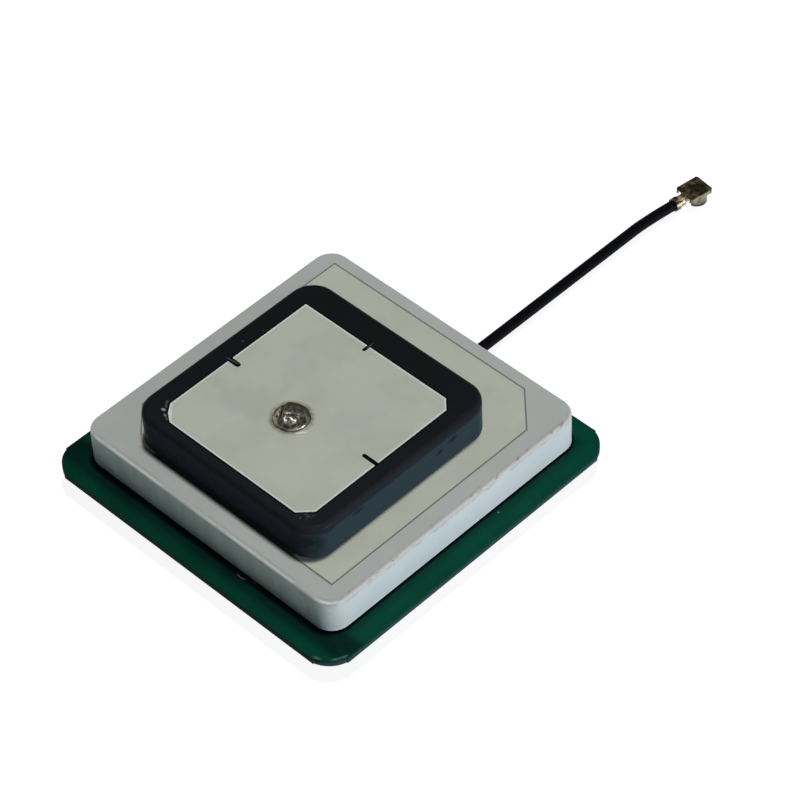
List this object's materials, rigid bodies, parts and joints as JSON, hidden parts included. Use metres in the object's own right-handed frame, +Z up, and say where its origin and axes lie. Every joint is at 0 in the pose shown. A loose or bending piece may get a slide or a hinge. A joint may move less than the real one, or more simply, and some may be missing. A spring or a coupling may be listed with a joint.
{
  "type": "gnss antenna",
  "caption": "Open frame satellite positioning antenna: a dark ceramic patch stacked on a white one, on a green board over a shield can, with a short coaxial lead and push-on plug.",
  "frame": {"origin": "middle of the shield can's lid, at the surface that the antenna lies on", "axes": "+Z up through the board and both ceramic blocks, +X the way the lead leaves, +Y to its left"},
  "size_m": [0.0762, 0.04, 0.0121],
  "materials": {
    "solder_mask": "dark green solder resist over glass cloth laminate",
    "adhesive": "double sided adhesive film",
    "fired_silver": "matte fired silver",
    "white_ceramic": "pale grey sintered ceramic",
    "dark_ceramic": "near black sintered ceramic with a light gloss",
    "tinned_brass": "tin plated",
    "solder": "bright tin solder",
    "tinplate": "satin tinplate",
    "moulding": "black moulding compound",
    "filter_body": "cream ceramic with a pale lid",
    "capacitor_body": "tan ceramic",
    "inductor_body": "grey blue ceramic",
    "resistor_body": "black coated ceramic",
    "tin": "tin plated end caps",
    "jacket": "black fluoropolymer jacket",
    "braid": "silver plated copper braid",
    "dielectric": "white fluoropolymer",
    "core_wire": "silver plated copper",
    "gold_plate": "thin gold plate",
    "plug_moulding": "ivory liquid crystal polymer"
  },
  "bodies": {
    "root": {"circuit_board": "solder_mask", "board_tape": "adhesive", "lower_ground_electrode": "fired_silver", "lower_ceramic": "white_ceramic", "lower_patch_electrode": "fired_silver", "lower_feed_pin": "tinned_brass", "lower_feed_solder": "solder", "patch_tape": "adhesive", "upper_ground_electrode": "fired_silver", "upper_ceramic": "dark_ceramic", "upper_patch_electrode": "fired_silver", "upper_feed_pin": "tinned_brass", "upper_feed_solder": "solder", "pin_solder_joints": "solder", "shield_can": "tinplate", "shield_solder": "solder", "amplifier_chips": "moulding", "saw_filters": "filter_body", "regulator_chip": "moulding", "chip_leads": "tin", "chip_capacitors": "capacitor_body", "chip_inductors": "inductor_body", "chip_resistors": "resistor_body", "chip_end_caps": "tin", "cable_jacket": "jacket", "cable_braid": "braid", "cable_dielectric": "dielectric", "cable_wire": "core_wire", "cable_solder_joints": "solder", "plug_shell": "gold_plate", "plug_insulator": "plug_moulding", "plug_contact": "gold_plate"}
  },
  "joints": []
}
